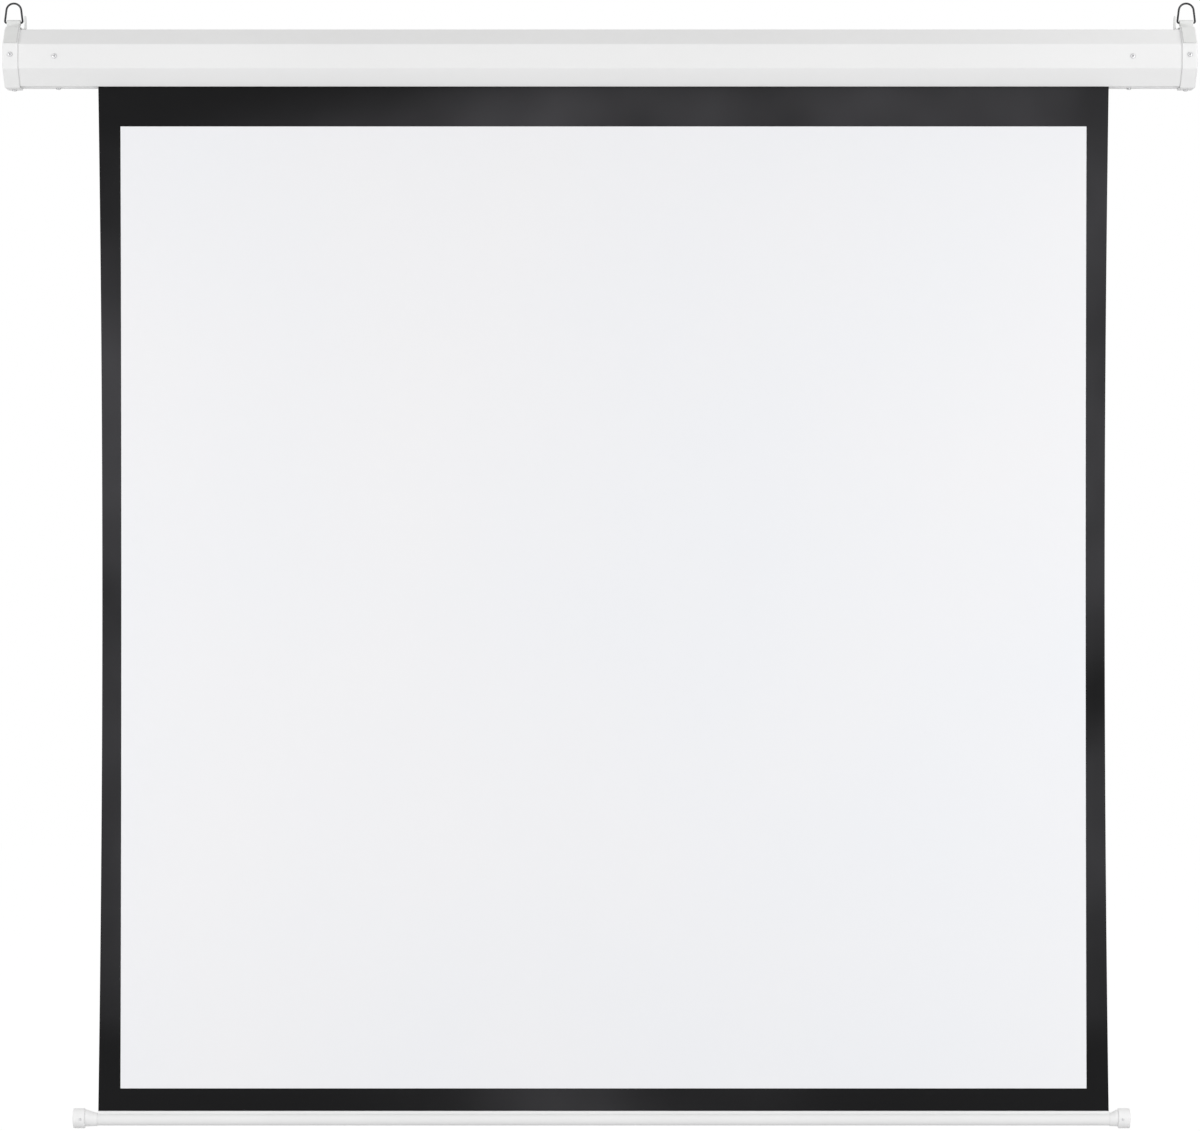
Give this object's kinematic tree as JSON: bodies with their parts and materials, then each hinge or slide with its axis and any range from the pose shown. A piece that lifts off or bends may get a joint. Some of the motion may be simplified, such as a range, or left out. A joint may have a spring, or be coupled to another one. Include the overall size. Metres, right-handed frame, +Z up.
{
  "type": "motorized projector screen",
  "caption": "Motorized projector screen: white octagonal casing hung from wire bails, matte white cloth with a black border let down from its roller, and a round bottom bar.",
  "frame": {"origin": "on the line where two hooks would carry the wire bails, halfway between them", "axes": "+X along the casing to the viewer's right, +Y away from the viewer towards the wall, +Z up; the picture faces -Y"},
  "size_m": [1.8846, 0.0991, 1.7775],
  "materials": {
    "white_paint": "satin",
    "white_plastic": "satin",
    "dark_steel": "blackened",
    "zinc_steel": "zinc plated",
    "rubber": "matte",
    "black_plastic": "matte",
    "circuit_board": "satin",
    "aluminium": "mill",
    "black_cloth": "coated, matte",
    "brass": "turned",
    "red_plastic": "matte",
    "white_cloth": "coated, matte"
  },
  "bodies": {
    "housing": {"black_border": "black_cloth", "casing": "white_paint", "control_board": "circuit_board", "control_box": "black_plastic", "control_box_cover": "black_plastic", "control_box_inner_screw": "zinc_steel", "control_box_outer_screw": "zinc_steel", "down_relay": "black_plastic", "gearbox": "zinc_steel", "idler_bracket": "zinc_steel", "idler_bush": "white_plastic", "left_cap_front_screw": "zinc_steel", "left_cap_lower_screw": "zinc_steel", "left_casing_front_screw": "zinc_steel", "left_casing_lower_screw": "zinc_steel", "left_end_cap": "white_plastic", "left_hanging_strap": "white_paint", "left_strap_screw": "zinc_steel", "limit_switch_unit": "black_plastic", "mains_grommet": "rubber", "motor_bracket": "zinc_steel", "motor_brake": "brass", "motor_core": "dark_steel", "motor_head": "black_plastic", "motor_head_back_screw": "zinc_steel", "motor_head_front_screw": "zinc_steel", "motor_lead": "black_plastic", "motor_tube": "zinc_steel", "projection_cloth": "white_cloth", "right_cap_front_screw": "zinc_steel", "right_cap_lower_screw": "zinc_steel", "right_casing_front_screw": "zinc_steel", "right_casing_lower_screw": "zinc_steel", "right_end_cap": "white_plastic", "right_hanging_strap": "white_paint", "right_strap_screw": "zinc_steel", "run_capacitor": "aluminium", "terminal_block": "white_plastic", "up_relay": "black_plastic"},
    "roller": {"roller_tube": "aluminium", "cloth_rod": "zinc_steel", "cloth_turns": "black_cloth", "output_shaft": "dark_steel", "drive_wheel": "black_plastic", "wheel_clip": "zinc_steel", "crown_ring": "black_plastic", "idler_plug": "black_plastic", "idler_pin": "zinc_steel", "idler_clip": "zinc_steel"},
    "bottom_bar": {"bottom_bar": "white_paint", "left_bar_cap": "white_plastic", "right_bar_cap": "white_plastic", "left_bar_cap_screw": "zinc_steel", "right_bar_cap_screw": "zinc_steel", "hem_rod": "zinc_steel", "hem_loop": "black_cloth"},
    "left_bail": {"left_bail": "dark_steel"},
    "right_bail": {"right_bail": "dark_steel"},
    "up_limit_screw": {"up_limit_screw": "red_plastic"},
    "down_limit_screw": {"down_limit_screw": "white_plastic"}
  },
  "joints": [
    {"name": "bar_lift", "type": "slide", "parent": "housing", "child": "bottom_bar", "axis": [0, 0, 1], "range_m": [0, 1.609], "deforming": ["projection_cloth", "black_border"]},
    {"name": "roller_spin", "type": "hinge", "parent": "housing", "child": "roller", "pos_m": [0, 0.013, -0.0865], "axis": [1, 0, 0], "range_deg": [-3250, 0]},
    {"name": "left_bail_swing", "type": "hinge", "parent": "housing", "child": "left_bail", "pos_m": [-0.9265, 0, -0.029], "axis": [1, 0, 0], "range_deg": [-105, 105]},
    {"name": "right_bail_swing", "type": "hinge", "parent": "housing", "child": "right_bail", "pos_m": [0.9265, 0, -0.029], "axis": [1, 0, 0], "range_deg": [-105, 105]},
    {"name": "up_limit_turn", "type": "hinge", "parent": "housing", "child": "up_limit_screw", "pos_m": [-0.8487, 0.013, -0.0865], "axis": [0, -0.5081, -0.8613], "continuous": true},
    {"name": "down_limit_turn", "type": "hinge", "parent": "housing", "child": "down_limit_screw", "pos_m": [-0.8367, 0.013, -0.0865], "axis": [0, -0.5081, -0.8613], "continuous": true}
  ],
  "couplings": [
    {"joint": "roller_spin", "follows": "bar_lift", "rad_per_m": -35.2}
  ]
}
